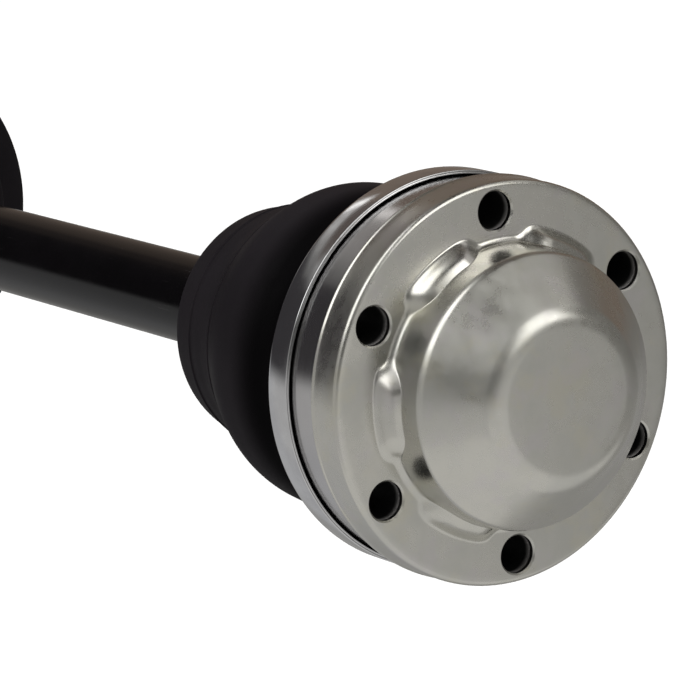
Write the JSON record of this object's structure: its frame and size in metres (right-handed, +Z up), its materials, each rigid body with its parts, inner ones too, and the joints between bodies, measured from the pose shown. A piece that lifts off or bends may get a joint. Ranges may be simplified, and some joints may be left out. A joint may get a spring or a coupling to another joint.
{
  "type": "axle shaft",
  "caption": "Constant-velocity half shaft: bolted flange joint with a domed end cap, rubber boots, a black bar and a splined, threaded stub.",
  "frame": {"origin": "centre of the flange's flat mating face", "axes": "+X out of the flange along the shaft axis, the bar runs to -X; +Z up through one bolt hole"},
  "size_m": [0.5461, 0.1112, 0.1112],
  "materials": {
    "bar_paint": "gloss black paint",
    "cap_zinc": "satin zinc plate on pressed steel",
    "ground_steel": "ground steel",
    "bright_plate": "bright plate on pressed steel",
    "boot_rubber": "moulded black rubber",
    "clamp_steel": "plain band steel",
    "bearing_steel": "hardened steel",
    "ball_steel": "polished ball",
    "spring_steel": "blued spring steel",
    "forged_steel": "turned forging"
  },
  "bodies": {
    "shaft": {"shaft_bar": "bar_paint", "plunge_inner_race": "bearing_steel", "plunge_circlip": "spring_steel", "plunge_washer": "spring_steel", "plunge_boot_clamp": "clamp_steel", "fixed_inner_race": "bearing_steel", "fixed_circlip": "spring_steel", "fixed_boot_clamp_small": "clamp_steel"},
    "plunge_ball_set": {"plunge_cage": "bearing_steel", "plunge_ball_1": "ball_steel", "plunge_ball_2": "ball_steel", "plunge_ball_3": "ball_steel", "plunge_ball_4": "ball_steel", "plunge_ball_5": "ball_steel", "plunge_ball_6": "ball_steel"},
    "boot_carrier": {"plunge_boot": "boot_rubber"},
    "flange": {"plunge_outer_race": "ground_steel", "end_cap": "cap_zinc", "boot_adapter": "bright_plate"},
    "fixed_ball_set": {"fixed_cage": "bearing_steel", "fixed_ball_1": "ball_steel", "fixed_ball_2": "ball_steel", "fixed_ball_3": "ball_steel", "fixed_ball_4": "ball_steel", "fixed_ball_5": "ball_steel", "fixed_ball_6": "ball_steel"},
    "stub": {"stub_axle": "forged_steel", "fixed_boot": "boot_rubber", "fixed_boot_clamp_large": "clamp_steel"}
  },
  "joints": [
    {"name": "plunge_pitch", "type": "hinge", "parent": "shaft", "child": "plunge_ball_set", "pos_m": [-0.01715, 0, 0], "axis": [0, 1, 0], "range_deg": [-15, 15]},
    {"name": "plunge_yaw", "type": "hinge", "parent": "plunge_ball_set", "child": "boot_carrier", "pos_m": [-0.01715, 0, 0], "axis": [0, 0, 1], "range_deg": [-15, 15]},
    {"name": "plunge_slide", "type": "slide", "parent": "boot_carrier", "child": "flange", "axis": [1, 0, 0], "range_m": [-0.008, 0.008], "deforming": ["plunge_boot"]},
    {"name": "fixed_pitch", "type": "hinge", "parent": "shaft", "child": "fixed_ball_set", "pos_m": [-0.39515, 0, 0], "axis": [0, 1, 0], "range_deg": [-30, 30]},
    {"name": "fixed_yaw", "type": "hinge", "parent": "fixed_ball_set", "child": "stub", "pos_m": [-0.39515, 0, 0], "axis": [0, 0, 1], "range_deg": [-30, 30], "deforming": ["fixed_boot"]}
  ]
}
